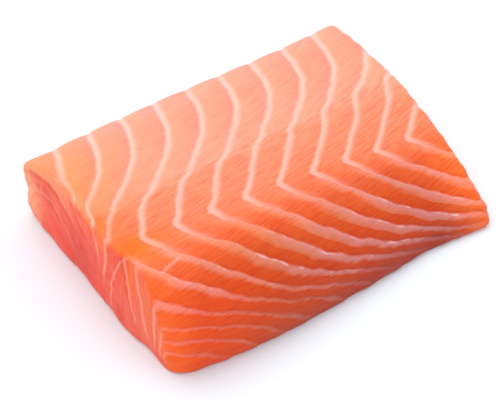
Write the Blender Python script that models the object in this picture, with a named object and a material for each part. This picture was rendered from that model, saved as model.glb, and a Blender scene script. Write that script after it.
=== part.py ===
# Raw salmon fillet: a block cut from the loin with its skin off, lying on its flat side.
# The body is a loft of cross-sections along the fish, from the left cut to the right cut.
# Its columns of faces follow the fat seams between the muscle blocks, so each seam is a real groove.

import bmesh
import bpy
import numpy as np

# Sizes are in metres. A pair gives the value at the left cut and at the right cut.
LENGTH = 0.105
PLATEAU_HEIGHT = (0.0266, 0.0198)
SHOULDER_WIDTH = (0.0115, 0.0480)       # rounded belly side, from its foot to the plateau
SHOULDER_POWER = (2.4, 1.7)             # 2 is an ellipse, more is boxier
BACK_FALL_WIDTH = (0.0235, 0.0100)      # strip where the top sinks towards the back
BACK_FALL = (0.0080, 0.0014)
BACK_LINE = (0.0728, 0.0762)            # distance of the back from the front line
BACK_EDGE_RADIUS = 0.0022
BACK_FOOT_RADIUS = 0.0030
FRONT_FOOT_RADIUS = 0.0012
CUT_EDGE_RADIUS = 0.0015                # where a cut end meets the sides

# The front foot bulges forward and dips back: where along, how wide, how far. Its corners are drawn in.
FRONT_LINE = (-0.0014, -0.0033)
FRONT_BULGES = ((0.032, 0.030, 0.0029), (0.085, 0.012, -0.0014))
CORNER_REACH = 0.009
FRONT_CORNER_PULL = (0.0041, 0.0)
BACK_CORNER_PULL = (-0.0006, 0.0006)

# The cuts are not quite flat. Each place leans inwards, or stands out where the depth is negative:
# (across, half width, depth at the top, depth at the foot).
LEAN_REACH = 0.016
LEFT_LEANS = (
    (0.0165, 0.0075, 0.0026, 0.0),
    (0.0540, 0.0080, 0.0010, 0.0),
    (0.0050, 0.0110, 0.0007, 0.0016),
    (0.0500, 0.0250, 0.0000, -0.0005),
    (0.0700, 0.0060, -0.0006, 0.0),
)
RIGHT_LEANS = ((-0.0020, 0.0110, -0.0010, -0.0010), (0.0500, 0.0160, -0.0012, -0.0004))

# The fat seams are one folded shape, repeated along the fish. The fold is on the lateral line.
LATERAL_LINE = 0.0243
SEAM_PITCH = 0.0107
SEAM_START = 0.0095
FIRST_SEAM = -8
LAST_SEAM = 10
# How far a seam has run along the fish, by place across: -1 front foot, 0 lateral line, 1 back edge.
SEAM_PLACES = (-1.0, -0.86, -0.72, -0.58, -0.4, -0.2, 0.0, 0.14, 0.28, 0.42, 0.54, 0.66, 0.8, 0.9, 1.0)
SEAM_RUN_LEFT = (
    0.0580, 0.0491, 0.0346, 0.0217, 0.0116, 0.0036, -0.0010,
    0.0037, 0.0097, 0.0178, 0.0236, 0.0267, 0.0291, 0.0304, 0.0322,
)
SEAM_RUN_RIGHT = (
    0.0590, 0.0400, 0.0275, 0.0196, 0.0117, 0.0044, -0.0009,
    0.0062, 0.0136, 0.0188, 0.0252, 0.0299, 0.0320, 0.0326, 0.0340,
)
SEAM_RUN_SPAN = 0.060                   # the first run holds up to fold 0, the second from here on
SEAM_ROUNDING = 0.035                   # rounds the corners of a run

# Relief of the muscle blocks
GROOVE_DEPTH = 0.00045
GROOVE_HALF_WIDTH = 0.0007
BLOCK_BULGE = 0.00035
FLAKE_STEP = 0.00060                    # on the belly side each block stands over the next
FLAKE_STEP_FROM = 0.4                   # places across over which the step, and the fades, come in
FOOT_FADE = 0.12
BACK_FADE = 0.8

# Density of the mesh
OUTLINE_STEPS = 60
CORNER_STEPS = 6
FRONT_ROWS = 19
TOP_ROWS = 22
BACK_ROWS = 4
BOTTOM_ROWS = 9
COLUMN_PARTS = (0.0, 0.09, 0.5, 0.91)   # columns in one seam pitch
SNAP = 0.0004
CAP_SCALES = (0.70, 0.35, 0.0)
MERGE = 1e-6

FLESH_COLOUR = (0.90, 0.24, 0.10, 1.0)
FLESH_ROUGHNESS = 0.42


def mix(pair, share):
    return pair[0] + (pair[1] - pair[0]) * share


def ease(share):
    share = min(max(share, 0.0), 1.0)
    return share * share * (3 - 2 * share)


def bend(start, corner, end, steps):
    """Points of a curve that rounds a corner."""
    t = np.linspace(0, 1, steps)[:, None]
    return (1 - t) ** 2 * start + 2 * t * (1 - t) * corner + t**2 * end


def end_pull(pulls, x):
    """How far a long side is drawn in near the two cuts."""
    left = max(0.0, 1 - x / CORNER_REACH) ** 2
    right = max(0.0, 1 - (LENGTH - x) / CORNER_REACH) ** 2
    return pulls[0] * left + pulls[1] * right


def outline(x):
    """Cross-section at x as points (across, height), from the front foot over the top to the back foot.

    Also gives the number of the point on the back edge.
    """
    share = x / LENGTH
    height = mix(PLATEAU_HEIGHT, ease(share))
    width = mix(SHOULDER_WIDTH, share)
    power = 2 / mix(SHOULDER_POWER, share)
    bulge = sum(far * np.exp(-(((x - at) / wide) ** 2)) for at, wide, far in FRONT_BULGES)
    front = mix(FRONT_LINE, share) + end_pull(FRONT_CORNER_PULL, x) - bulge
    back = mix(BACK_LINE, share) - end_pull(BACK_CORNER_PULL, x)
    fall_width = mix(BACK_FALL_WIDTH, share)
    fall = mix(BACK_FALL, share)

    angle = np.linspace(0, np.pi / 2, OUTLINE_STEPS)
    across = front + width * (1 - np.cos(angle) ** power)
    shoulder = np.stack([across, height * np.sin(angle) ** power], 1)
    shoulder = shoulder[shoulder[:, 1] > FRONT_FOOT_RADIUS]
    toe = np.array([front + FRONT_FOOT_RADIUS, 0.0])
    foot = bend(toe, np.array([front, 0.0]), shoulder[0], CORNER_STEPS)[:-1]

    run = np.linspace(0, 1, OUTLINE_STEPS)[1:]
    slope = np.stack([back - fall_width * (1 - run), height - fall * run**2], 1)
    edge = slope[-1].copy()
    slope = slope[slope[:, 0] < back - BACK_EDGE_RADIUS]
    rounded = bend(slope[-1], edge, edge - [0, BACK_EDGE_RADIUS], CORNER_STEPS + 1)[1:]
    heel = bend(
        np.array([back, BACK_FOOT_RADIUS]),
        np.array([back, 0.0]),
        np.array([back - BACK_FOOT_RADIUS, 0.0]),
        CORNER_STEPS,
    )
    points = np.concatenate([foot, shoulder, slope, rounded, heel])
    middle_of_rounding = CORNER_STEPS // 2 - 1
    return points, len(foot) + len(shoulder) + len(slope) + middle_of_rounding


def seam_run(place, fold):
    """How far the seam with its fold at `fold` has run along the fish, at a place across."""
    share = min(max(fold / SEAM_RUN_SPAN, 0.0), 1.0)
    nearby = place + np.linspace(-SEAM_ROUNDING, SEAM_ROUNDING, 5)
    left = np.interp(nearby, SEAM_PLACES, SEAM_RUN_LEFT).mean()
    right = np.interp(nearby, SEAM_PLACES, SEAM_RUN_RIGHT).mean()
    return mix((left, right), share)


def relief(fold, place):
    """Height of the muscle blocks and their grooves over the smooth body."""
    part = ((fold - SEAM_START) / SEAM_PITCH) % 1.0
    distance = min(part, 1 - part) * SEAM_PITCH
    groove = GROOVE_DEPTH * np.exp(-((distance / GROOVE_HALF_WIDTH) ** 2))
    step = FLAKE_STEP * ease(-place / FLAKE_STEP_FROM) * (part - 0.5) if distance > MERGE else 0.0
    fade = ease((1 + place) / FOOT_FADE)
    return fade * (BLOCK_BULGE * 4 * part * (1 - part) - groove + step)


def loft_rows():
    """Rows of the loft, once round the cross-section, as (side, place on that side)."""
    rows = [("front", i / FRONT_ROWS - 1) for i in range(FRONT_ROWS)]
    rows += [("top", i / TOP_ROWS) for i in range(TOP_ROWS)]
    rows += [("back", i / BACK_ROWS) for i in range(BACK_ROWS)]
    rows += [("bottom", i / BOTTOM_ROWS) for i in range(BOTTOM_ROWS)]
    return rows


def seam_place(side, place):
    """Place across, from -1 to 1, that sets where the seams run in a row."""
    if side == "back":
        return 1.0
    if side == "bottom":
        return 1 - 2 * place
    return place


def smooth_point(x, side, place):
    """Point of the body without relief, and the outward direction there, both in the cross-section."""
    points, edge_number = outline(x)
    lengths = np.concatenate([[0], np.cumsum(np.linalg.norm(np.diff(points, axis=0), axis=1))])
    lateral = np.interp(LATERAL_LINE, points[:edge_number, 0], lengths[:edge_number])
    edge = lengths[edge_number]
    if side == "bottom":
        return points[-1] + (points[0] - points[-1]) * place, np.array([0.0, -1.0])
    if side == "front":
        at = lateral * (1 + place)
    elif side == "top":
        at = lateral + (edge - lateral) * place
    else:
        at = edge + (lengths[-1] - edge) * place

    def on_outline(distance):
        return np.array([np.interp(distance, lengths, points[:, axis]) for axis in (0, 1)])

    ahead = on_outline(at + SNAP) - on_outline(at - SNAP)
    outward = np.array([-ahead[1], ahead[0]])
    return on_outline(at), outward / np.linalg.norm(outward)


def lean(x, across, height):
    """How far a point near a cut moves along the fish, because the cut is not quite flat."""
    tall = min(1.0, (height / PLATEAU_HEIGHT[0]) ** 2)
    total = 0.0
    for leans, distance, inwards in ((LEFT_LEANS, x, 1), (RIGHT_LEANS, LENGTH - x, -1)):
        near = max(0.0, 1 - distance / LEAN_REACH) ** 2
        for at, half, top, foot in leans:
            total += inwards * near * mix((foot, top), tall) * np.exp(-(((across - at) / half) ** 2))
    return total


def body_point(x, row, fold, inset=0.0):
    """Point of the finished surface, moved inwards by `inset`."""
    side, place = row
    section_point, outward = smooth_point(x, side, place)
    rise = 0.0
    if side != "bottom":
        rise = relief(fold, seam_place(side, place))
        if side == "back":
            rise *= ease((1 - place) / BACK_FADE)
    across, height = section_point + outward * (rise - inset)
    return np.array([x + lean(x, across, height), across, max(height, 0.0)])


def row_columns(row):
    """The x and the fold of each column in one row; columns beyond a cut stop at the cut."""
    place = seam_place(*row)
    folds = [
        SEAM_START + (number + part) * SEAM_PITCH
        for number in range(FIRST_SEAM, LAST_SEAM)
        for part in COLUMN_PARTS
    ]
    along = [fold + seam_run(place, fold) for fold in folds]
    first, last = CUT_EDGE_RADIUS, LENGTH - CUT_EDGE_RADIUS
    columns = []
    for x, fold in zip(along, folds):
        if x < first + SNAP:
            x, fold = first, np.interp(first, along, folds)
        elif x > last - SNAP:
            x, fold = last, np.interp(last, along, folds)
        columns.append((x, fold))
    return columns


def cut_rings(rows, end_columns, at_left):
    """Rings that round the rim of a cut and close it, from the rim inwards."""
    rings = []
    for turn in (np.pi / 4, np.pi / 2):
        x = CUT_EDGE_RADIUS * (1 - np.sin(turn))
        inset = CUT_EDGE_RADIUS * (1 - np.cos(turn))
        if not at_left:
            x = LENGTH - x
        rings.append([body_point(x, row, end[1], inset) for row, end in zip(rows, end_columns)])
    rim = np.array(rings[-1])
    centre = (rim.min(axis=0) + rim.max(axis=0)) / 2
    end = 0.0 if at_left else LENGTH
    for scale in CAP_SCALES:
        flat = centre + (rim - centre) * scale
        rings.append([np.array([end + lean(end, p[1], p[2]), p[1], p[2]]) for p in flat])
    return rings


def make_body():
    rows = loft_rows()
    columns = [row_columns(row) for row in rows]
    count = len(columns[0])
    sleeve = [
        [body_point(*(line[number][0], row, line[number][1])) for row, line in zip(rows, columns)]
        for number in range(count)
    ]
    left = cut_rings(rows, [line[0] for line in columns], True)
    right = cut_rings(rows, [line[-1] for line in columns], False)
    rings = left[::-1] + sleeve + right

    everything = np.array(rings).reshape(-1, 3)
    low, high = everything.min(axis=0), everything.max(axis=0)
    origin = np.array([(low[0] + high[0]) / 2, (low[1] + high[1]) / 2, 0.0])

    body = bmesh.new()
    grid = [[body.verts.new(point - origin) for point in ring] for ring in rings]
    for ring, following in zip(grid, grid[1:]):
        for number in range(len(rows)):
            after = (number + 1) % len(rows)
            body.faces.new((ring[number], ring[after], following[after], following[number]))
    bmesh.ops.remove_doubles(body, verts=body.verts, dist=MERGE)
    bmesh.ops.recalc_face_normals(body, faces=body.faces)
    return body


def make_fillet():
    body = make_body()
    mesh = bpy.data.meshes.new("fillet")
    body.to_mesh(mesh)
    body.free()
    fillet = bpy.data.objects.new("fillet", mesh)
    mesh.shade_smooth()

    flesh = bpy.data.materials.new("flesh")
    flesh.use_nodes = True
    shader = flesh.node_tree.nodes["Principled BSDF"]
    shader.inputs["Base Color"].default_value = FLESH_COLOUR
    shader.inputs["Roughness"].default_value = FLESH_ROUGHNESS
    shader.inputs["Metallic"].default_value = 0.0
    mesh.materials.append(flesh)
    return fillet


for old in list(bpy.data.objects):
    bpy.data.objects.remove(old, do_unlink=True)
collection = bpy.data.collections.new("salmon fillet")
bpy.context.scene.collection.children.link(collection)
collection.objects.link(make_fillet())
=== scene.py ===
import math

import bmesh
import bpy
import numpy as np
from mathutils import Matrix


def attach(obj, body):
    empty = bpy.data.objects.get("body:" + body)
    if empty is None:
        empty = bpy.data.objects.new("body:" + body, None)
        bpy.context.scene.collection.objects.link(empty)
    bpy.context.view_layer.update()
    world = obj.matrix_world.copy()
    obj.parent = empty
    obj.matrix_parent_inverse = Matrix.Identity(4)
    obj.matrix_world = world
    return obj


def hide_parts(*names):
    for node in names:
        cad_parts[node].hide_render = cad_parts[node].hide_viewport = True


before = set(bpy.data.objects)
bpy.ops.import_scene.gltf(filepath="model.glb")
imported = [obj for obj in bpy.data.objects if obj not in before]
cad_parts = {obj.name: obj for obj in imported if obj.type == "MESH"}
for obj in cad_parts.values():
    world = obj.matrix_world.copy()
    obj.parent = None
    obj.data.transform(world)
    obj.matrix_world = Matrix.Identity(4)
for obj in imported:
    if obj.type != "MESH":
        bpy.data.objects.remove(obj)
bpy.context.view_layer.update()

print("frame loaded")


# One small class for the maths of node trees: an expression on wires adds its Math nodes.
class Wire:
    def __init__(self, maker, socket):
        self.maker, self.socket = maker, socket

    def __add__(self, other):
        return self.maker.sum("ADD", self, other)

    def __sub__(self, other):
        return self.maker.sum("SUBTRACT", self, other)

    def __rsub__(self, other):
        return self.maker.sum("SUBTRACT", other, self)

    def __mul__(self, other):
        return self.maker.sum("MULTIPLY", self, other)

    def __truediv__(self, other):
        return self.maker.sum("DIVIDE", self, other)

    def __rtruediv__(self, other):
        return self.maker.sum("DIVIDE", other, self)

    def __neg__(self):
        return self.maker.sum("MULTIPLY", self, -1)

    __radd__ = __add__
    __rmul__ = __mul__


class Maker:
    def __init__(self, tree):
        self.tree = tree

    # Any node: its type, its settings, then the values or wires of its sockets
    def node(self, kind, settings=None, sockets=None, outlet=0):
        made = self.tree.nodes.new(kind)
        for name, value in (settings or {}).items():
            if name == "stops":
                self.setStops(made.color_ramp, value)
            elif name == "points":
                self.setPoints(made.mapping, value)
            else:
                setattr(made, name, value)
        for key, value in (sockets or {}).items():
            if isinstance(value, Wire):
                self.tree.links.new(value.socket, made.inputs[key])
            else:
                made.inputs[key].default_value = value
        return Wire(self, made.outputs[outlet])

    def setStops(self, ramp, stops):
        while len(ramp.elements) < len(stops):
            ramp.elements.new(0.5)
        for element, (position, colour) in zip(ramp.elements, stops):
            element.position, element.color = position, colour

    def setPoints(self, mapping, points):
        line = mapping.curves[0].points
        while len(line) < len(points):
            line.new(0.5, 0.5)
        for point, place in zip(line, points):
            point.location = place
        mapping.update()

    # the three parts of a vector
    def split(self, vector):
        first = self.node("ShaderNodeSeparateXYZ", None, {0: vector})
        return [Wire(self, outlet) for outlet in first.socket.node.outputs]

    def sum(self, operation, *values):
        return self.node("ShaderNodeMath", {"operation": operation}, dict(enumerate(values)))

    def vectorSum(self, operation, first, second):
        return self.node("ShaderNodeVectorMath", {"operation": operation}, {0: first, 1: second})

    def fract(self, value):
        return self.sum("FRACT", value)

    # 0 at low and beyond, 1 at high and beyond, and an even curve between
    def rise(self, value, low, high):
        settings = {"interpolation_type": "SMOOTHSTEP"}
        return self.node("ShaderNodeMapRange", settings, {"Value": value, "From Min": low, "From Max": high})

    # a bell round zero with the given half width
    def bell(self, value, width):
        ratio = value / width
        return self.sum("EXPONENT", -(ratio * ratio))

    def blend(self, share, first, second, mode="MIX"):
        settings = {"data_type": "RGBA", "blend_type": mode}
        return self.node("ShaderNodeMix", settings, {0: share, 6: first, 7: second}, outlet=2)


# The shape of the block, in millimetres. x runs along the fish from the left cut, y from the belly side
# to the back side. A pair gives the value at the left cut and at the right cut.
block = {
    "length": 105.0,
    "centre": (52.753, 35.574),
    "plateauHeight": (26.6, 19.8),
    "shoulderWidth": (11.5, 48.0),
    "shoulderPower": (2.4, 1.7),
    "backFallWidth": (23.5, 10.0),
    "backFall": (8.0, 1.4),
    "backLine": (72.8, 76.2),                 # of the back side, as frontLine is of the front foot
    "backEdgeRadius": 2.2,
    "backFootRadius": 3.0,
    "frontFootRadius": 1.2,
    "cutEdgeRadius": 1.5,
    "cutEdgeAtFoot": (0.5, 0.12),             # its share at the front foot, and over how much place it grows
    "frontLine": (-0.7, -2.5),
    "frontBulges": ((32.0, 30.0, 2.9), (85.0, 12.0, -1.4)),          # where along, how wide, how far
    "cornerReach": 9.0,
    "frontCornerPull": (4.1, 0.0),
    "backCornerPull": (-0.6, 0.1),
    # the cuts lean: across, half width, depth at the top, depth at the foot
    "leftLeans": ((16.5, 7.5, 2.6, 0.0), (54.0, 8.0, 1.0, 0.0), (5.0, 11.0, 0.7, 1.6),
                  (50.0, 25.0, 0.0, -0.5), (70.0, 6.0, -0.6, 0.0), (42.0, 6.0, 0.0, 0.6),
                  (22.0, 5.0, 0.0, -0.4), (32.0, 60.0, 0.0, 0.7)),
    "rightLeans": ((-2.0, 11.0, -0.5, 0.1), (52.0, 18.0, -1.6, -0.4)),
    "leanReach": 16.0,
    # a shallow notch in the back edge of the left cut
    "notchUp": (9.5, 1.8),                    # middle and half height
    "notchAcross": (62.0, 72.0),              # where it starts and is full
    "notchReach": 9.0,
    "notchDepth": 1.1,
}

# The fat seams are one folded shape, repeated along the fish, with its fold on the lateral line.
seams = {
    "lateralLine": 24.3,
    "pitch": 10.7,
    "start": 9.5,
    "first": -8,                              # number of the first seam, and of the one after the last
    "last": 10,
    # how far a seam has run along the fish, by place across: -1 front foot, 0 lateral line, 1 back edge
    "places": (-1.0, -0.86, -0.72, -0.58, -0.4, -0.2, 0.0, 0.14, 0.28, 0.42, 0.54, 0.66, 0.8, 0.9, 1.0),
    "runLeft": (58.0, 49.1, 34.6, 21.7, 11.6, 3.6, -1.0, 3.7, 9.7, 17.8, 23.6, 26.7, 29.1, 30.4, 32.2),
    "runRight": (59.0, 40.0, 27.5, 19.6, 11.7, 4.4, -0.9, 6.2, 13.6, 18.8, 25.2, 29.9, 32.0, 32.6, 34.0),
    "runSpan": 60.0,
    "rounding": 0.022,
    "roundingSteps": 7,
    "slantStep": 0.01,                        # the slant of a seam is measured over this much on each side
    "topReach": 50.0,                         # from the fold to the back edge
    "paleFrom": (0.205, 0.0024),              # place across where the top turns pale, and its change per mm
}

# How fine the mesh is
mesh = {
    "frontRows": 66,
    "topRows": 96,
    "backRows": 26,
    "bottomRows": 36,
    "columnParts": (0, .025, .06, .1, .15, .21, .28, .35, .42, .5, .58, .65, .72, .79, .85, .9, .94, .975),
    "stations": 106,
    "snap": 0.2,                              # a column nearer than this to a cut's rounding moves onto it
    "curvePoints": 160,
    "footPoints": 9,
    "edgePoints": 13,
    "tangentReach": 0.3,                      # the outline's slope is measured over this much on each side
    "roundingTurns": (22.5, 45.0, 67.5, 90.0),
    "capRings": 24,
    "capDepth": 0.92,                         # how far the last ring has shrunk towards the cap's spine
    "spineEnds": (7.0, 9.0),                  # the spine stops this far from the front and back sides
    "spineHeight": 0.48,
}


def mixPair(pair, share):
    return pair[0] + (pair[1] - pair[0]) * share


def ease(share):
    share = np.clip(share, 0, 1)
    return share * share * (3 - 2 * share)


# 0 to 1 between the two numbers of a pair
def through(value, pair):
    return np.clip((value - pair[0]) / (pair[1] - pair[0]), 0, 1)


def hump(value, middle, half):
    return np.exp(-(((value - middle) / half) ** 2))


def bend(start, corner, end, steps):
    t = np.linspace(0, 1, steps)[:, None]
    return (1 - t) ** 2 * start + 2 * t * (1 - t) * corner + t**2 * end


def endPull(pulls, x):
    left = max(0.0, 1 - x / block["cornerReach"]) ** 2
    right = max(0.0, 1 - (block["length"] - x) / block["cornerReach"]) ** 2
    return pulls[0] * left + pulls[1] * right


# Cross-section at x, from the front foot over the top to the back foot, and the number of its back edge point
def outline(x):
    share = x / block["length"]
    height = mixPair(block["plateauHeight"], ease(share))
    width = mixPair(block["shoulderWidth"], share)
    power = 2 / mixPair(block["shoulderPower"], share)
    front = mixPair(block["frontLine"], share) + endPull(block["frontCornerPull"], x)
    front -= sum(far * hump(x, at, wide) for at, wide, far in block["frontBulges"])
    back = mixPair(block["backLine"], share) - endPull(block["backCornerPull"], x)
    fallWidth = mixPair(block["backFallWidth"], share)
    fall = mixPair(block["backFall"], share)

    angle = np.linspace(0, math.pi / 2, mesh["curvePoints"])
    across = front + width * (1 - np.cos(angle) ** power)
    shoulder = np.stack([across, height * np.sin(angle) ** power], 1)
    shoulder = shoulder[shoulder[:, 1] > block["frontFootRadius"]]
    toe = np.array([front + block["frontFootRadius"], 0.0])
    foot = bend(toe, np.array([front, 0.0]), shoulder[0], mesh["footPoints"])[:-1]

    run = np.linspace(0, 1, mesh["curvePoints"])[1:]
    slope = np.stack([back - fallWidth * (1 - run), height - fall * run**2], 1)
    edge = slope[-1].copy()
    slope = slope[slope[:, 0] < back - block["backEdgeRadius"]]
    rounded = bend(slope[-1], edge, edge - [0, block["backEdgeRadius"]], mesh["edgePoints"])[1:]
    radius = block["backFootRadius"]
    heel = bend(np.array([back, radius]), np.array([back, 0.0]), np.array([back - radius, 0.0]),
                mesh["footPoints"])
    points = np.concatenate([foot, shoulder, slope, rounded, heel])
    return points, len(foot) + len(shoulder) + len(slope) + len(rounded) // 2 - 1


# Rows of the mesh, once round the cross-section: the side, and the place on it
def meshRows():
    rows = [("front", i / mesh["frontRows"] - 1) for i in range(mesh["frontRows"])]
    for side in ("top", "back", "bottom"):
        number = mesh[side + "Rows"]
        rows += [(side, i / number) for i in range(number)]
    return rows


# For one station along the fish: y, z, outward y, outward z and distance round from the lateral line, by row
def sectionTable(x, rows):
    points, edgeNumber = outline(x)
    lengths = np.concatenate([[0], np.cumsum(np.linalg.norm(np.diff(points, axis=0), axis=1))])
    lateral = np.interp(seams["lateralLine"], points[:edgeNumber, 0], lengths[:edgeNumber])
    edge, end = lengths[edgeNumber], lengths[-1]
    reach = mesh["tangentReach"]

    def pointAt(distance):
        return np.array([np.interp(distance, lengths, points[:, axis]) for axis in (0, 1)])

    table = []
    for side, place in rows:
        if side == "bottom":
            spot = points[-1] + (points[0] - points[-1]) * place
            table.append([*spot, 0.0, -1.0, end - lateral + (points[-1, 0] - spot[0])])
            continue
        at = {"front": lateral * (1 + place), "top": lateral + (edge - lateral) * place,
              "back": edge + (end - edge) * place}[side]
        ahead = pointAt(at + reach) - pointAt(at - reach)
        size = math.hypot(*ahead)
        table.append([*pointAt(at), -ahead[1] / size, ahead[0] / size, at - lateral])
    return table


def seamPlace(side, place):
    return {"back": 1.0, "bottom": 1 - 2 * place}.get(side, place)


# How far the seams with their folds at `fold` have run along the fish, at places across
def seamRun(places, fold):
    nearby = places + np.linspace(-seams["rounding"], seams["rounding"], seams["roundingSteps"])[:, None]
    left = np.interp(nearby, seams["places"], seams["runLeft"]).mean(0)
    right = np.interp(nearby, seams["places"], seams["runRight"]).mean(0)
    return left + (right - left) * np.clip(fold / seams["runSpan"], 0, 1)


# How far points near a cut move along the fish, because the cuts aren't quite flat
def lean(x, y, z):
    tall = np.minimum(1.0, (z / block["plateauHeight"][0]) ** 2)
    total = np.zeros_like(x)
    for leans, distance, inwards in (("leftLeans", x, 1), ("rightLeans", block["length"] - x, -1)):
        near = np.maximum(0.0, 1 - distance / block["leanReach"]) ** 2
        for at, half, top, foot in block[leans]:
            total += inwards * near * (foot + (top - foot) * tall) * hump(y, at, half)
    return total


# The smooth body, with what its patterns need kept as attributes
def makeSmoothBody():
    rows = meshRows()
    places = np.array([seamPlace(*row) for row in rows])
    stations = np.linspace(0, block["length"], mesh["stations"])
    table = np.array([sectionTable(x, rows) for x in stations])
    folds = np.array([seams["start"] + (number + part) * seams["pitch"]
                      for number in range(seams["first"], seams["last"]) for part in mesh["columnParts"]])
    radius = block["cutEdgeRadius"]
    first, last = radius, block["length"] - radius

    count = len(rows)
    x = np.zeros((count, len(folds)))
    fold = np.zeros_like(x)
    for r in range(count):
        along = folds + seamRun(np.full(len(folds), places[r]), folds)
        early, late = along < first + mesh["snap"], along > last - mesh["snap"]
        x[r] = np.where(early, first, np.where(late, last, along))
        foldFirst, foldLast = np.interp((first, last), along, folds)
        fold[r] = np.where(early, foldFirst, np.where(late, foldLast, folds))

    # the rounding of a cut's edge is smaller at the front foot, which has a small radius itself
    atFoot, whole = block["cutEdgeAtFoot"]
    insetShare = (atFoot + (1 - atFoot) * ease((places + 1) / whole))[:, None]

    def spotsAt(x, inset):
        values = np.empty(x.shape + (5,))
        for r in range(count):
            for k in range(5):
                values[r, ..., k] = np.interp(x[r], stations, table[:, r, k])
        y = values[..., 0] - values[..., 2] * inset * insetShare
        z = np.maximum(values[..., 1] - values[..., 3] * inset * insetShare, 0.0)
        return y, z, values[..., 4]

    # each layer is a ring of rows: x, y, z, fold, distance round, onCut
    y, z, around = spotsAt(x, 0.0)
    layers = [np.stack([x[:, c], y[:, c], z[:, c], fold[:, c], around[:, c], np.zeros(count)], 1)
              for c in range(len(folds))]

    def capLayers(end, rimFold, inwards):
        made = []
        for turn in mesh["roundingTurns"]:
            angle = math.radians(turn)
            ringX = np.full((count, 1), end + inwards * radius * (1 - math.sin(angle)))
            y, z, around = spotsAt(ringX, radius * (1 - math.cos(angle)))
            made.append(np.stack([ringX[:, 0], y[:, 0], z[:, 0], rimFold, around[:, 0],
                                  np.full(count, turn / 90)], 1))
        rim = made[-1]
        upper = mesh["frontRows"] + mesh["topRows"]
        frontGap, backGap = mesh["spineEnds"]
        spineY = np.clip(rim[:, 1], rim[:, 1].min() + frontGap, rim[:, 1].max() - backGap)
        spineZ = mesh["spineHeight"] * np.interp(spineY, rim[:upper, 1], rim[:upper, 2])
        for k in np.linspace(0, mesh["capDepth"], mesh["capRings"] + 1)[1:]:
            ring = rim.copy()
            ring[:, 1] += (spineY - rim[:, 1]) * k
            ring[:, 2] += (spineZ - rim[:, 2]) * k
            made.append(ring)
        return made

    layers = capLayers(0.0, fold[:, 0], 1)[::-1] + layers + capLayers(block["length"], fold[:, -1], -1)
    data = np.concatenate(layers)
    data[:, 0] += lean(data[:, 0], data[:, 1], data[:, 2])
    nearNotch = hump(data[:, 2], *block["notchUp"]) * hump(data[:, 0], 0.0, block["notchReach"])
    data[:, 1] -= block["notchDepth"] * nearNotch * through(data[:, 1], block["notchAcross"]) ** 2

    # distance between seams, measured square to them
    gap = np.empty((len(layers), count))
    step = seams["slantStep"]
    for number, layer in enumerate(layers):
        slant = (seamRun(places + step, layer[:, 3]) - seamRun(places - step, layer[:, 3])) / (2 * step)
        reach = np.where(places < 0, -layer[:, 4].min(), seams["topReach"])
        gap[number] = seams["pitch"] / np.sqrt(1 + (slant / reach) ** 2)

    made = bpy.data.meshes.new("salmonFlesh")
    grid = np.arange(len(data)).reshape(len(layers), count)
    after = np.roll(grid, -1, axis=1)
    faces = np.stack([grid[:-1], after[:-1], after[1:], grid[1:]], -1).reshape(-1, 4).tolist()
    faces += [grid[0].tolist(), grid[-1].tolist()]
    spots = (data[:, :3] - [*block["centre"], 0]) / 1000
    made.from_pydata(spots.tolist(), [], faces)
    underneath = np.array([side == "bottom" for side, place in rows], float)
    paleFrom, paleChange = seams["paleFrom"]
    keep = {
        "seamRaw": (data[:, 3] - seams["start"]) / seams["pitch"],
        "seamGap": gap.ravel() / 1000,
        "placeAcross": np.tile(places, len(layers)),
        "wayAround": data[:, 4] / 1000,
        "paleEdge": np.tile(places, len(layers)) - paleFrom - paleChange * data[:, 0],
        "onCut": data[:, 5],
        "onUnder": np.tile(underneath, len(layers)) * (1 - data[:, 5]),
    }
    for name, values in keep.items():
        made.attributes.new(name, "FLOAT", "POINT").data.foreach_set("value", values.astype(np.float32))
    shape = bmesh.new()
    shape.from_mesh(made)
    bmesh.ops.remove_doubles(shape, verts=shape.verts, dist=1e-6)
    bmesh.ops.triangulate(shape, faces=[face for face in shape.faces if len(face.verts) > 4])
    bmesh.ops.recalc_face_normals(shape, faces=shape.faces)
    shape.to_mesh(made)
    shape.free()
    made.shade_smooth()
    return made


# Relief of the muscle blocks, in metres
relief = {
    "Groove Depth": 0.00022,
    "Groove Width": 0.00055,
    "Top Groove": 0.3,          # share of that depth on the top
    "Block Bulge": 0.00030,
    "Flake Step": 0.00036,
    "Step Width": 0.00022,
    "Band Rise": 0.17,          # a belly band's upper edge stands above its seam, as a share of the gap
    "Left Band Rise": 0.6,      # share of that at the left cut
    "Tip Dip": 0.15,            # just below the fold it stands lower, towards the left cut
    "Foot Rise": 0.12,          # and near the front left foot higher again
    "Corner Rise": 0.42,        # beside the left cut it rises away from the cut
    "Corner Dip": 0.25,         # from this much lower at the cut itself
    "Corner Foot": 0.20,        # and again near the foot
    "Jog": 0.0010,              # sideways step of each seam where the top turns pale
    "Edge Curl": 0.60,          # one seam runs down beside the left cut before it crosses the edge
    "Curl Back": 0.22,          # and the next turns the other way, as a share of that
    "Wobble": 0.0007,
    "Top Wobble": 0.7,          # share of it on the top; the belly side has a whole one more
    "Wobble Size": 0.0055,
    "Lump Height": 0.00030,
    "Lump Size": 0.012,
    "Foot Waves": 0.0012,
    "Foot Wave Size": 0.0042,
    "Cut Waves": 0.0012,
    "Cut Wave Size": 0.0036,
    "Tip Swell": 0.0006,        # the right front tip stands out a little above its foot
    "Back Swell": 0.0004,       # and the back edge at mid length
    "Seed": 4.0,
}

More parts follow.
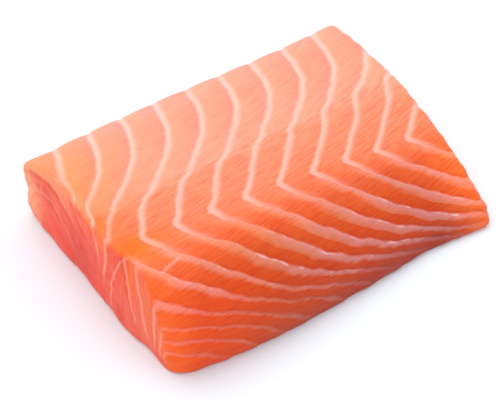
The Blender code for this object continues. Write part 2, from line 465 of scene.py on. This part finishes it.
# Where the relief changes: along, across and up in metres, with the middle of the block at 0, and places
# across as in the seams. Each change grows from its first number to its second.
reliefChanges = {
    "belly": (0.0, -0.4),
    "jogStart": (-0.025, 0.025),              # measured from the pale edge towards the belly side
    "jogEnd": (0.22, 0.03),
    "jogAlong": (-0.050, -0.042),
    "curlAlong": (-0.0485, -0.0520),
    "curlBackAlong": (-0.044, -0.050),
    "bandPlace": (0.0, -0.3),
    "bandAlong": (-0.04, 0.005),
    "dipFromRight": (0.02, -0.005),
    "dipFromLeft": (-0.039, -0.030),
    "footPlace": (-0.6, -0.85),
    "footAlong": (-0.01, -0.035),
    "cornerPlace": (-0.35, -0.5),
    "cornerEdge": (-0.053, -0.040),
    "cornerFootPlace": (-0.62, -0.72),
    "cornerFootEdge": (-0.052, -0.047),
    "cornerAlong": (-0.013, -0.035),
    "sides": (-1.0, -0.88),                   # no blocks and grooves right at the front foot
    "footUp": (0.007, 0.001),
    "levelUp": (0.0, 0.003),                  # below this the surface only moves sideways
    "backPlace": (0.82, 0.98),
    "rightEdge": (0.0465, 0.0525),
    "leftEdge": (-0.0475, -0.0525),
    "tipAlong": (0.042, 0.052),
}

# Forms of the relief that lie round a middle, each with its half width
reliefMiddles = {
    "curl": (0.0005, 0.0045),
    "secondCurl": (0.0114, 0.0045),
    "curlBack": (0.022, 0.0055),
    "dip": (-0.10, 0.07),
    "backAlong": (0.002, 0.030),
    "tipUp": (0.0045, 0.0025),
    "tipAcross": (-0.0345, 0.006),
}


# Geometry Nodes tree that raises the muscle blocks and sinks the fat seams
def makeReliefTree(material):
    tree = bpy.data.node_groups.new("muscleRelief", "GeometryNodeTree")
    tree.interface.new_socket("Geometry", in_out="INPUT", socket_type="NodeSocketGeometry")
    for name, value in relief.items():
        tree.interface.new_socket(name, in_out="INPUT", socket_type="NodeSocketFloat").default_value = value
    tree.interface.new_socket("Geometry", in_out="OUTPUT", socket_type="NodeSocketGeometry")
    make = Maker(tree)
    entry = tree.nodes.new("NodeGroupInput")
    given = {socket.name: Wire(make, socket) for socket in entry.outputs if socket.name}

    def kept(name):
        return make.node("GeometryNodeInputNamedAttribute", {"data_type": "FLOAT"}, {"Name": name})

    def noise(size, seed, detail=1.0):
        place = make.node("ShaderNodeVectorMath", {"operation": "SCALE"},
                          {0: make.node("GeometryNodeInputPosition"), "Scale": 1 / size})
        return make.node("ShaderNodeTexNoise", {"noise_dimensions": "4D"},
                         {"Vector": place, "W": seed, "Scale": 1.0, "Detail": detail}) - 0.5

    def over(value, change):
        return make.rise(value, *reliefChanges[change])

    def near(value, name):
        middle, half = reliefMiddles[name]
        return make.bell(value - middle, half)

    gap, place = kept("seamGap"), kept("placeAcross")
    belly = over(place, "belly")
    along, across, up = make.split(make.node("GeometryNodeInputPosition"))

    # sideways steps of the seams
    swing = noise(given["Wobble Size"], given["Seed"], 2.0) * 2 * given["Wobble"]
    beforePale = -kept("paleEdge")
    jog = over(beforePale, "jogStart") * over(beforePale, "jogEnd") * over(along, "jogAlong") * given["Jog"]
    curl = over(along, "curlAlong") * (near(across, "curl") + near(across, "secondCurl"))
    curl = curl - over(along, "curlBackAlong") * near(across, "curlBack") * given["Curl Back"]

    # how far the bands' upper edges stand above them
    leftRise = given["Left Band Rise"]
    bandRise = over(place, "bandPlace") * given["Band Rise"] * (
        leftRise + (1 - leftRise) * over(along, "bandAlong"))
    dip = near(place, "dip") * over(along, "dipFromRight") * over(along, "dipFromLeft")
    bandRise = bandRise - dip * given["Tip Dip"]
    bandRise = bandRise + over(place, "footPlace") * over(along, "footAlong") * given["Foot Rise"]
    corner = over(along, "cornerEdge") * given["Corner Rise"] - given["Corner Dip"]
    cornerFoot = over(place, "cornerFootPlace") * over(along, "cornerFootEdge") * given["Corner Foot"]
    bandRise = bandRise + (over(place, "cornerPlace") * corner + cornerFoot) * over(along, "cornerAlong")

    phase = kept("seamRaw") + (swing * (belly + given["Top Wobble"]) + jog) / gap
    phase = phase - bandRise - curl * given["Edge Curl"]
    part = make.fract(phase)
    distance = make.sum("MINIMUM", part, 1 - part) * gap
    topGroove = given["Top Groove"]
    groove = make.bell(distance, given["Groove Width"]) * given["Groove Depth"]
    groove = groove * (belly * (1 - topGroove) + topGroove)
    bulge = part * (1 - part) * 4 * given["Block Bulge"]
    step = (part - 0.5) * belly * given["Flake Step"] * (1 - make.bell(distance, given["Step Width"]))
    lumps = noise(given["Lump Size"], given["Seed"] + 7) * given["Lump Height"]
    foot = over(up, "footUp") * noise(given["Foot Wave Size"], given["Seed"] + 3) * given["Foot Waves"]
    backSwell = near(along, "backAlong") * over(place, "backPlace") * given["Back Swell"]
    sides = (1 - kept("onCut")) * over(place, "sides")
    height = (1 - kept("onUnder")) * (sides * (bulge - groove + step) + lumps + foot + backSwell)
    pushed = make.node("ShaderNodeVectorMath", {"operation": "SCALE"},
                       {0: make.node("GeometryNodeInputNormal"), "Scale": height})
    level = make.node("ShaderNodeCombineXYZ", None, {0: 1.0, 1: 1.0, 2: over(up, "levelUp")})
    offset = make.vectorSum("MULTIPLY", pushed, level)

    # the cuts' edges wave a little along the fish
    nearCut = over(along, "rightEdge") + over(along, "leftEdge")
    shove = nearCut * noise(given["Cut Wave Size"], given["Seed"] + 11) * given["Cut Waves"]
    tip = over(along, "tipAlong") * near(across, "tipAcross") * near(up, "tipUp")
    shove = shove + tip * given["Tip Swell"]
    offset = make.vectorSum("ADD", offset, make.node("ShaderNodeCombineXYZ", None, {0: shove}))

    stored = make.node("GeometryNodeStoreNamedAttribute", {"data_type": "FLOAT", "domain": "POINT"},
                       {"Geometry": given["Geometry"], "Name": "seamAt", "Value": phase})
    moved = make.node("GeometryNodeSetPosition", None, {"Geometry": stored, "Offset": offset})
    real = make.node("GeometryNodeRealizeInstances", None, {"Geometry": moved})
    painted = make.node("GeometryNodeSetMaterial", None, {"Geometry": real, "Material": material})
    leave = tree.nodes.new("NodeGroupOutput")
    tree.links.new(painted.socket, leave.inputs[0])
    return tree


def makeFlesh(name, material):
    piece = bpy.data.objects.new(name, makeSmoothBody())
    bpy.context.scene.collection.objects.link(piece)
    modifier = piece.modifiers.new("muscleRelief", "NODES")
    tree = makeReliefTree(material)
    modifier.node_group = tree
    for item in tree.interface.items_tree:
        if item.in_out == "INPUT" and item.name in relief:
            modifier[item.identifier] = relief[item.name]
    evaluated = piece.evaluated_get(bpy.context.evaluated_depsgraph_get())
    finished = bpy.data.meshes.new_from_object(evaluated)
    piece.modifiers.remove(modifier)
    piece.data = finished
    return piece


# The muscle. Along, across and up are in millimetres, and a place runs from -1 at the front foot over 0 at
# the fold to 1 at the back edge. An area has a strength. It grows over each of its changes, from the first
# number to the second, and falls off round each of its middles by the half width.
flesh = {
    # colour from the front foot (0) over the fold (0.5) to the back edge (1), partly the flesh's own colour
    # and partly painted light: a painted sheen pales the top, and painted shade darkens the belly side down
    # to the front foot
    "muscle": (
        (0.03, (0.46, 0.070, 0.036, 1)),
        (0.10, (0.56, 0.070, 0.020, 1)),
        (0.20, (0.62, 0.070, 0.012, 1)),
        (0.30, (0.66, 0.090, 0.018, 1)),
        (0.38, (0.78, 0.125, 0.034, 1)),
        (0.43, (0.88, 0.185, 0.075, 1)),
        (0.50, (0.92, 0.235, 0.120, 1)),
        (0.60, (0.91, 0.275, 0.156, 1)),
        (0.68, (0.90, 0.345, 0.230, 1)),
        (0.90, (0.90, 0.322, 0.214, 1)),
        (1.00, (0.90, 0.350, 0.248, 1)),
    ),
    # tones laid over it one after the other
    "tones": (
        # the belly side is stronger orange towards the left cut, and painted shade makes it browner low down
        # on the right, near the foot
        {"colour": (0.90, 0.088, 0.010, 1), "strength": 0.85,
         "over": (("place", -0.25, -0.6), ("along", 45, 0))},
        {"colour": (0.34, 0.040, 0.022, 1), "strength": 0.60,
         "over": (("place", -0.72, -0.95), ("along", 35, 75))},
        # the left end is more orange, and peach on the top
        {"colour": (0.92, 0.160, 0.045, 1), "strength": 0.75,
         "near": (("along", 0, 16), ("place", -0.1, 0.40))},
        {"colour": (0.92, 0.285, 0.115, 1), "strength": 0.95,
         "near": (("along", 0, 17),), "over": (("place", 0.0, 0.5),)},
        # the belly side is lighter beside the left cut
        {"colour": (1.0, 0.160, 0.026, 1), "strength": 0.75,
         "over": (("place", -0.15, -0.45), ("along", 12, 1))},
        # two orange patches near the left end of the fold
        {"colour": (0.96, 0.165, 0.012, 1), "strength": 0.95,
         "near": (("along", 6, 9), ("across", 22, 5)), "over": (("up", 10, 18),)},
        {"colour": (0.96, 0.165, 0.012, 1), "strength": 0.70,
         "near": (("along", 2, 3.5), ("across", 34.5, 4)), "over": (("up", 10, 18),)},
    ),
    # near the fold the muscle is lighter towards the left, darker towards the right
    "ridge": {"near": (("place", -0.09, 0.12),)},
    "ridgeFade": (72, 26),
    "ridgeTint": (0.0, 0.15, 0.32),
    # and painted shade, a little browner, just below it on the right
    "shade": {"near": (("place", -0.2, 0.1),), "over": (("along", 45, 70),)},
    "shadeTint": (-0.10, -0.13, -0.12),
    # painted light: light comes through the thin flesh at the right cut, and all of it is a little yellower
    # there
    "lit": {"colour": (1.00, 0.180, 0.036, 1), "strength": 0.85,
            "over": (("along", 88, 106), ("place", 0.0, -0.3))},
    "end": {"strength": 0.06, "over": (("along", 88, 106),)},
    "endTint": (0.1, 0.6, 0.2),
    # how fine the noises are, per millimetre
    "blotches": (0.07, 0.07, 0.07),
    "swells": (0.25, 0.25, 0.25),
    "grains": (1.3, 1.8, 1.3),
    "fibres": (0.16, 2.4),
    "coarseFibres": (0.05, 0.5),
    "mottles": (0.55, 0.9),
    "fibreTurn": (0.22, 0.003, 0.125),        # the fibres turn a little towards the back, more so further up
    "thread": (0.05, -0.14),                  # noise at which a dark thread starts, and is full
    "threadDepth": (0.31, 0.14),              # contrast of the fine fibres, below and above the pale edge
    "grainTint": (0.2, 0.85, 1.0),
    "coarseShare": 0.25,
    "grainShare": 0.30,
    # the top turns pale along a ragged edge
    "paleOver": (-0.03, 0.04),
    "paleRagged": (0.12, 0.08),
    "paleShift": {"strength": 0.12, "over": (("place", 0.0, 0.2),)},
    "blotchShift": 0.2,
    # its blocks are yellower behind their seam and pinker before the next one
    "far": (0.25, 0.6),                       # places between which the top counts as far from the fold
    "blockTint": (0.0, 0.22, 0.06),
    "blockBlotches": 0.3,
    "shader": {
        "Roughness": 0.42,
        "Specular IOR Level": 0.15,
        "Subsurface Weight": 0.16,
        "Subsurface Radius": (1.0, 0.32, 0.16),
        "Subsurface Scale": 0.0020,
        "IOR": 1.4,
    },
    "bump": {"Strength": 0.5, "Distance": 0.001},
    "bumpHeights": (0.10, 0.05, 0.20),        # of the coarse fibres, the fine ones and the grain of the cuts
}

# The fat seams of the top are soft pale lines, in millimetres from the middle of their seam.
topSeams = {
    "colour": (0.92, 0.54, 0.47, 1),
    "start": (-0.85, -1.0),                   # where a line starts, near the fold and far from it
    "full": 0.20,
    "fade": (0.30, 2.0),
    # a blob at the tip of the fold, and one at the pale edge
    "tip": {"strength": 0.60, "near": (("place", 0, 0.04),), "over": (("along", 8, 20),)},
    "knot": {"strength": 0.35, "near": (("pale", 0, 0.02),), "over": (("along", 8, 20),)},
    "clear": 0.62,                            # how well the lines show, and where they show more or less
    "clearer": (
        {"strength": 0.16, "over": (("place", 0.3, 0.8),)},
        {"strength": -0.25, "over": (("along", 12, 2),)},
        {"strength": 0.40, "near": (("along", 1.5, 3.0), ("across", 38, 5.5))},
    ),
    # a short branch between two of them: across, slope, wander and half width
    "branchLine": (9.1, 0.3, 2.0, 0.5),
    "branch": {"strength": 0.34, "over": (("along", 5.5, 8.5), ("along", 14.5, 12.5), ("up", 10, 18))},
    "ragged": (0.7, 0.5),                     # how far the fibres and the swells push an edge about
}

# The fat of the belly side lies in bands. Each has a hard upper edge with a painted shine in places, under a
# thin crease of painted shadow, and a lower edge that feathers out. They are thin and faint near the front
# left foot.
bands = {
    "belly": (0.0, -0.25),                    # places over which the bands come in
    "lower": (-0.12, -0.45),                  # and their painted crease shadows and painted shine
    "bold": (-0.58, -0.36),                   # from faint to bold, at lower places further along
    "boldTilt": 0.005,
    "faintWidth": 0.45,
    "faintStrength": 0.55,
    # each is widest just before it bends towards the foot, and thin beyond
    "bend": (0.49, 45.0, 0.0045),             # its place at this station, and the change per mm
    "widen": (-0.32, -0.06),
    "thin": (0.0, 0.10),
    "thinBy": 0.7,
    "width": (0.34, 0.33),                    # as a share of the gap: at least, and at most this much more
    "widthAlong": (14, 58),
    "widthSwell": 1.4,
    "lowerEdge": (1.4, 0.85, 0.8),            # start and length in widths, and the push of the fibres
    "upperEdge": (-0.3, 0.5),
    "upperRagged": 0.4,
    "mottle": 0.9,
    "sides": (-0.99, -0.88),
    "fades": (
        {"strength": 0.35, "over": (("along", 96, 105),)},
        {"strength": 0.50, "over": (("place", -0.72, -0.9), ("along", 45, 70))},
    ),
    "featherAdds": (0.0, 0.080, 0.055, 1),    # what fat adds to the muscle at a band's lower edge
    "fatAdds": (0.0, 0.134, 0.168, 1),        # and at its upper edge
    "fatOver": (-3.2, -0.4),
    "yellower": (
        {"strength": 0.30, "near": (("along", 33, 14),)},
        {"strength": 0.15, "near": (("place", -0.27, 0.10),)},
    ),
    "yellowTint": (0.0, -0.2, -1.0),
    # painted shadow in the thin crease above each band's upper edge
    "creaseShadow": (0.60, 0.040, 0.010, 1),
    "creaseShadowAt": (0.50, 0.30),
    "creaseShadowOver": (-0.02, 0.12),
    "creaseShadowStrength": 0.5,
    # painted shine, a highlight in places along a band's upper edge
    "shine": (0.80, 0.480, 0.480, 1),
    "shineAt": (-0.25, 0.30),
    "shineStrength": 0.75,
    "shineOver": (0.06, 0.28),
    "shineNoises": (1.4, 0.5),
    "shineBend": (-0.03, 0.07, 0.12),           # more painted shine where a band bends: middle, half width, strength
}

# The cut faces, in millimetres across and up: arcs of the big muscle round one point, soft zones of colour
# and of painted shade, and lines of fat and dark clefts that run down from the top edge.
cut = {
    "flesh": (0.87, 0.088, 0.049, 1),
    # painted shade, for the darker zones low in the middle of the cut
    "deep": (0.69, 0.062, 0.041, 1),
    "bright": (0.94, 0.095, 0.052, 1),
    "orange": (0.93, 0.170, 0.028, 1),
    "rim": (0.93, 0.280, 0.130, 1),
    "skin": (0.95, 0.360, 0.170, 1),
    "pale": (0.84, 0.140, 0.081, 1),
    "dark": (0.66, 0.054, 0.030, 1),
    "fat": (0.92, 0.330, 0.240, 1),
    "edge": (0.15, 0.9),                      # where on its edge's rounding a cut's colour starts and is full
    "arcsRound": (59.0, 3.0),
    "rimFrom": (18.9, 20.2),                  # radius from which a pale rim lies outside the arcs
    "rimAcross": (43.0, 55.0),
    "strandsFrom": (-14.0, -24.0),            # beyond this across from the arcs the grain runs up and down
    "rings": (0.9, 0.10, 0.10),               # how fine the grain is, per millimetre
    "strands": (0.95, 0.07, 0.1),
    "grainTint": (0.25, 1.0, 1.2),
    "grainShare": 0.7,
    "blotchShare": 0.5,
    "arcWander": (2.2, 3.0),
    "arcUp": (3, 13),
    "arcFade": {"strength": 0.6, "over": (("across", 63, 69),)},
    # shade, radius, half width, strength
    "arcs": (("dark", 18.9, 0.40, 0.60), ("dark", 15.6, 0.40, 0.25), ("fat", 13.2, 0.50, 0.35),
             ("dark", 12.3, 0.45, 0.30), ("dark", 8.5, 0.60, 0.15)),
    # shade, across, up, half width, half height, strength
    "zones": (
        ("bright", 60.0, 8.0, 7.0, 6.0, 0.7),
        ("skin", 71.5, 11.0, 7.0, 14.0, 0.95),
        # painted shade low in the middle of the cut
        ("deep", 43.0, 7.0, 7.0, 7.0, 0.7),
        ("pale", 14.0, 10.0, 11.0, 16.0, 0.9),
        # painted shade low down, nearer the front
        ("deep", 22.5, 5.0, 2.5, 6.0, 0.4),
        ("orange", 18.0, 22.0, 3.0, 7.0, 0.8),
        ("orange", 9.0, 20.0, 5.0, 12.0, 0.7),
        ("orange", 38.5, 26.0, 2.0, 5.0, 0.6),
        ("orange", 30.5, 24.5, 4.0, 5.0, 0.7),
        ("pale", 57.0, 17.5, 8.0, 4.0, 0.5),
        ("orange", 1.0, 12.0, 5.0, 14.0, 0.9),
    ),
    # shade, half width, strength, fades in between two heights, then (height, across) from the foot up
    "lines": (
        ("dark", 0.35, 0.40, (18, 20), ((18, 41.6), (19.3, 41.4), (21.1, 41.1), (22.7, 43.0), (27, 45.0))),
        ("fat", 0.45, 0.60, (18, 19), ((17.6, 33.0), (18.6, 35.0), (19.3, 37.2), (20.4, 40.2), (22, 42.0))),
        ("fat", 0.50, 0.65, (14, 22),
         ((6, 32.5), (12, 32.2), (20, 32.3), (23.3, 32.8), (25.4, 33.7), (28, 35.6))),
        ("fat", 0.55, 0.75, (6, 18),
         ((2, 32.4), (6.1, 31.4), (11.8, 29.9), (16.8, 28.9), (23, 28.0), (28, 27.7))),
        ("fat", 0.35, 0.70, (0, 9),
         ((0, 27.1), (7.4, 26.8), (13, 26.1), (17.4, 24.6), (23, 22.4), (26.8, 20.2))),
        ("dark", 0.30, 0.55, (4, 12),
         ((4, 16.6), (6.8, 17.1), (11.8, 18.6), (16.8, 19.9), (22.4, 21.4), (26, 21.8))),
        ("fat", 0.40, 0.60, (4, 9),
         ((4.6, 17.4), (6.8, 16.1), (9.9, 17.1), (14.3, 18.3), (19.9, 19.6), (26, 21.0))),
        ("fat", 0.70, 0.60, (2, 9),
         ((2, 10.8), (6.8, 11.1), (11.1, 12.4), (15.5, 13.3), (20.5, 14.9), (25.5, 16.4))),
        ("dark", 0.30, 0.45, (2, 7), ((2, 8.6), (4.9, 8.6), (9.3, 8.6), (14.3, 9.6), (20, 11.0))),
        ("fat", 0.60, 0.70, (1, 10),
         ((1, 7.6), (13, 7.4), (17.4, 6.8), (21.1, 6.1), (24.9, 3.6), (28, -0.1))),
        ("fat", 0.55, 0.65, (1, 7), ((1, 5.6), (9.3, 4.6), (13.6, 3.6), (16.8, 1.8), (20.5, -2.6))),
        ("fat", 0.50, 0.60, (1, 6), ((1, 3.6), (8, 1.8), (10.5, -0.1), (15.5, -4.0))),
    ),
    "lineHeight": 28.0,                       # the lines are drawn within this height and this much across
    "lineAcross": (-10.0, 80.0),
    "lineWander": 0.6,
    "lineEdge": (0.3, 1.7),                   # where a line's edge starts and ends, in half widths
}


def makeFleshMaterial():
    material = bpy.data.materials.new("salmonFlesh")
    material.use_nodes = True
    tree = material.node_tree
    make = Maker(tree)
    shader = tree.nodes["Principled BSDF"]

    def kept(name):
        return make.node("ShaderNodeAttribute", {"attribute_name": name}, outlet=2)

    x, y, z = (part * 1000 for part in make.split(make.node("ShaderNodeTexCoord", outlet=3)))
    x, y = x + block["centre"][0], y + block["centre"][1]
    phase, gap, place = kept("seamAt"), kept("seamGap") * 1000, kept("placeAcross")
    around, onCut, paleEdge = kept("wayAround") * 1000, kept("onCut"), kept("paleEdge")
    measures = {"along": x, "across": y, "up": z, "place": place, "pale": paleEdge}

    def within(area):
        share = area.get("strength", 1.0)
        for name, start, end in area.get("over", ()):
            share = share * make.rise(measures[name], start, end)
        for name, middle, half in area.get("near", ()):
            share = share * make.bell(measures[name] - middle, half)
        return share

    # noise round zero of up to three measures, or of two on the given layer
    def noiseAt(values, scales, detail=2.0, layer=0.0):
        spot = {2: layer}
        spot.update({axis: value * scale for axis, (value, scale) in enumerate(zip(values, scales))})
        vector = make.node("ShaderNodeCombineXYZ", None, spot)
        return make.node("ShaderNodeTexNoise", None, {"Vector": vector, "Scale": 1.0, "Detail": detail}) - 0.5

    def tint(colour, amount, weights):
        factors = {channel: 1 + amount * weight for channel, weight in enumerate(weights)}
        return make.blend(1.0, colour, make.node("ShaderNodeCombineXYZ", None, factors), "MULTIPLY")

    blotch = noiseAt((x, y, z), flesh["blotches"])
    swell = noiseAt((x, y, z), flesh["swells"])
    turn, turnChange, lengthwise = flesh["fibreTurn"]
    turned = around - x * turn - around * x * turnChange
    fibre = noiseAt((x + turned * lengthwise, turned), flesh["fibres"])
    coarse = noiseAt((x, turned), flesh["coarseFibres"], layer=3.0)
    grain = noiseAt((x, around, z), flesh["grains"], 1.0)
    mottle = noiseAt((x, around), flesh["mottles"], 3.0, layer=7.0)
    thread = make.rise(fibre, *flesh["thread"])

    fibrePush, coarsePush = flesh["paleRagged"]
    pale = make.rise(paleEdge + fibre * fibrePush + coarse * coarsePush, *flesh["paleOver"])
    shift = blotch * flesh["blotchShift"] + (pale - 0.5) * within(flesh["paleShift"])
    muscle = make.node("ShaderNodeValToRGB", {"stops": flesh["muscle"]}, {0: (place + shift) * 0.5 + 0.5})
    for tone in flesh["tones"]:
        muscle = make.blend(within(tone), muscle, tone["colour"])
    ridge = within(flesh["ridge"]) * (make.rise(x, *flesh["ridgeFade"]) - 0.5)
    muscle = tint(muscle, ridge, flesh["ridgeTint"])
    muscle = tint(muscle, within(flesh["shade"]), flesh["shadeTint"])
    muscle = make.blend(within(flesh["lit"]), muscle, flesh["lit"]["colour"])
    muscle = tint(muscle, within(flesh["end"]), flesh["endTint"])
    plain, faint = flesh["threadDepth"]
    threads = thread * (plain + (faint - plain) * pale)
    muscle = tint(muscle, coarse * flesh["coarseShare"] + grain * flesh["grainShare"] - threads,
                  flesh["grainTint"])
    far = make.rise(place, *flesh["far"])
    acrossBlock = (0.5 - make.fract(phase)) * far + blotch * flesh["blockBlotches"]
    muscle = tint(muscle, acrossBlock, flesh["blockTint"])

    # millimetres beyond the nearest seam, less than 0 before it
    above = (phase - make.sum("ROUND", phase)) * gap
    fibrePush, swellPush = topSeams["ragged"]
    ragged = fibre * fibrePush + swell * swellPush

    # the seams of the top: soft lines that fade more slowly on their right
    belly = make.rise(place, *bands["belly"])
    soft = above + ragged
    tip, knot = within(topSeams["tip"]), within(topSeams["knot"])
    start, farStart = topSeams["start"]
    line = make.rise(soft + tip + knot, start + (farStart - start) * far, topSeams["full"])
    line = line * (1 - make.rise(soft - knot, *topSeams["fade"]))
    clear = sum((within(area) for area in topSeams["clearer"]), topSeams["clear"])
    colour = make.blend(line * (1 - belly) * clear, muscle, topSeams["colour"])
    across, slope, wander, half = topSeams["branchLine"]
    branch = make.bell(y - across - x * slope + swell * wander, half) * within(topSeams["branch"])
    colour = make.blend(branch, colour, topSeams["colour"])

    # the bands of the belly side
    lower = make.rise(place, *bands["lower"])
    bold = make.rise(place + x * bands["boldTilt"], *bands["bold"])
    bendPlace, bendAlong, bendChange = bands["bend"]
    toBend = -place - bendPlace - (x - bendAlong) * bendChange
    wide = make.rise(toBend, *bands["widen"]) * (1 - bands["thinBy"] * make.rise(toBend, *bands["thin"]))
    least, more = bands["width"]
    width = gap * (least + more * make.rise(x, *bands["widthAlong"]) * wide) + swell * bands["widthSwell"]
    width = width * (bands["faintWidth"] + (1 - bands["faintWidth"]) * bold)
    edgeStart, edgeLength, edgePush = bands["lowerEdge"]
    band = make.rise(above + ragged + fibre * edgePush + width * edgeStart, 0.0, width * edgeLength)
    band = band * (1 - make.rise(above + ragged * bands["upperRagged"], *bands["upperEdge"]))
    band = band * (1 + mottle * bands["mottle"])
    strength = bands["faintStrength"] + (1 - bands["faintStrength"]) * bold
    strength = strength * make.rise(place, *bands["sides"])
    for area in bands["fades"]:
        strength = strength * (1 - within(area))
    fat = make.blend(make.rise(above, *bands["fatOver"]), bands["featherAdds"], bands["fatAdds"])
    fat = tint(fat, sum(within(area) for area in bands["yellower"]), bands["yellowTint"])
    # painted shadow in the thin crease above each band's upper edge
    creaseShadowMiddle, creaseShadowHalf = bands["creaseShadowAt"]
    creaseShadow = make.bell(above - creaseShadowMiddle, creaseShadowHalf) * lower * bold
    creaseShadow = creaseShadow * make.rise(swell, *bands["creaseShadowOver"])
    colour = make.blend(creaseShadow * bands["creaseShadowStrength"], colour, bands["creaseShadow"])
    colour = make.blend(band * belly * strength, colour, fat, "ADD")
    # painted shine along the bands' upper edges, where the noises and the bends allow it
    swellShare, mottleShare = bands["shineNoises"]
    bendMiddle, bendHalf, bendShare = bands["shineBend"]
    shineChance = swell * swellShare + mottle * mottleShare
    shineChance = shineChance + make.bell(toBend - bendMiddle, bendHalf) * bendShare
    shineMiddle, shineHalf = bands["shineAt"]
    shine = make.bell(above - shineMiddle, shineHalf) * lower * bold * make.rise(shineChance, *bands["shineOver"])
    colour = make.blend(shine * bands["shineStrength"], colour, bands["shine"])

    # the cut faces
    ringAcross, ringUp = y - cut["arcsRound"][0], z - cut["arcsRound"][1]
    ring = make.sum("SQRT", ringAcross * ringAcross + ringUp * ringUp)
    ringNoise = noiseAt((ring, y, z), cut["rings"], 3.0)
    strand = noiseAt((y, z, x), cut["strands"], 3.0)
    outside = make.rise(ringAcross, *cut["strandsFrom"])
    cutGrain = ringNoise + (strand - ringNoise) * outside
    rim = make.rise(ring, *cut["rimFrom"]) * make.rise(y, *cut["rimAcross"])
    cutColour = make.blend(rim, cut["flesh"], cut["rim"])
    for shade, across, up, halfAcross, halfUp, strength in cut["zones"]:
        zone = make.bell(y - across, halfAcross) * make.bell(z - up, halfUp) * strength
        cutColour = make.blend(zone, cutColour, cut[shade])
    cutColour = tint(cutColour, cutGrain * cut["grainShare"] + blotch * cut["blotchShare"], cut["grainTint"])
    swellPush, blotchPush = cut["arcWander"]
    wandered = ring + swell * swellPush + blotch * blotchPush
    arcsShow = (1 - outside) * make.rise(z, *cut["arcUp"]) * (1 - within(cut["arcFade"]))
    for shade, radius, half, strength in cut["arcs"]:
        arc = make.bell(wandered - radius, half) * strength * arcsShow
        cutColour = make.blend(arc, cutColour, cut[shade])
    low, high = cut["lineAcross"]
    for shade, half, strength, fade, points in cut["lines"]:
        track = [(up / cut["lineHeight"], (at - low) / (high - low)) for up, at in points]
        drawn = make.node("ShaderNodeFloatCurve", {"points": track}, {"Value": z * (1 / cut["lineHeight"])})
        off = make.sum("ABSOLUTE", y - (drawn * (high - low) + low) + swell * cut["lineWander"])
        inner, outer = cut["lineEdge"]
        stroke = (1 - make.rise(off, half * inner, half * outer)) * make.rise(z, *fade) * strength
        cutColour = make.blend(stroke, cutColour, cut[shade])
    colour = make.blend(make.rise(onCut, *cut["edge"]), colour, cutColour)
    tree.links.new(colour.socket, shader.inputs["Base Color"])

    coarseHigh, threadDeep, cutHigh = flesh["bumpHeights"]
    sideHeight = coarse * coarseHigh - thread * threadDeep
    bumpHeight = sideHeight + (cutGrain * cutHigh - sideHeight) * onCut
    bump = make.node("ShaderNodeBump", None, {**flesh["bump"], "Height": bumpHeight})
    tree.links.new(bump.socket, shader.inputs["Normal"])
    for name, value in flesh["shader"].items():
        shader.inputs[name].default_value = value
    return material


fleshMaterial = makeFleshMaterial()
fillet = makeFlesh("salmonFlesh", fleshMaterial)
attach(fillet, "root")
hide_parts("fillet")
triangles = sum(len(face.vertices) - 2 for face in fillet.data.polygons)
print("flesh:", len(fillet.data.vertices), "points,", triangles, "triangles")

studio = {
    "cameraTurn": -33.23,
    "cameraRise": 45.0,
    "cameraDistance": 528.0,
    "target": (54.45, 42.79, 0.0),
    "lens": 135.0,
    "sensor": 36.0,
    "clip": (0.01, 20.0),
    "floorSize": 6.0,
    "floorDrop": 0.00005,                     # keeps the floor just under the piece
    "floor": {
        "Base Color": (0.760, 0.808, 0.856, 1),
        "Emission Color": (0.68, 0.82, 1.0, 1),
        "Emission Strength": 0.06,
        "Roughness": 0.9,
        "Specular IOR Level": 0.1,
    },
    "sky": {"Color": (0.99, 0.99, 1.0, 1), "Strength": 1.0},
    "lampFrom": (-0.05, 0.45, 0.95),          # the direction that the soft light comes from
    "lampSpread": 40.0,
    "lampStrength": 1.15,
    "lampColour": (1.0, 0.99, 0.97),
}


def makeStudio():
    scene = bpy.context.scene
    turn, rise = math.radians(studio["cameraTurn"]), math.radians(studio["cameraRise"])
    away = np.array([math.sin(turn) * math.cos(rise), -math.cos(turn) * math.cos(rise), math.sin(rise)])
    target = (np.array(studio["target"]) - [*block["centre"], 0]) / 1000
    lens = bpy.data.cameras.new("camera")
    lens.lens, lens.sensor_width = studio["lens"], studio["sensor"]
    lens.clip_start, lens.clip_end = studio["clip"]
    camera = bpy.data.objects.new("camera", lens)
    camera.location = target + away * studio["cameraDistance"] / 1000
    camera.rotation_euler = (math.pi / 2 - rise, 0, turn)
    scene.collection.objects.link(camera)
    scene.camera = camera

    bpy.ops.mesh.primitive_plane_add(size=studio["floorSize"], location=(0, 0, -studio["floorDrop"]))
    floor = bpy.context.object
    floor.name = "floor"
    paint = bpy.data.materials.new("floor")
    paint.use_nodes = True
    for name, value in studio["floor"].items():
        paint.node_tree.nodes["Principled BSDF"].inputs[name].default_value = value
    floor.data.materials.append(paint)

    light = bpy.data.lights.new("backLamp", "SUN")
    light.energy, light.color = studio["lampStrength"], studio["lampColour"]
    light.angle = math.radians(studio["lampSpread"])
    lamp = bpy.data.objects.new("backLamp", light)
    lamp.location = studio["lampFrom"]
    lamp.rotation_euler = lamp.location.to_track_quat("Z", "Y").to_euler()
    scene.collection.objects.link(lamp)
    sky = bpy.data.worlds.new("sky")
    sky.use_nodes = True
    for name, value in studio["sky"].items():
        sky.node_tree.nodes["Background"].inputs[name].default_value = value
    scene.world = sky
    scene.view_settings.view_transform = "Standard"


makeStudio()
print("studio made")
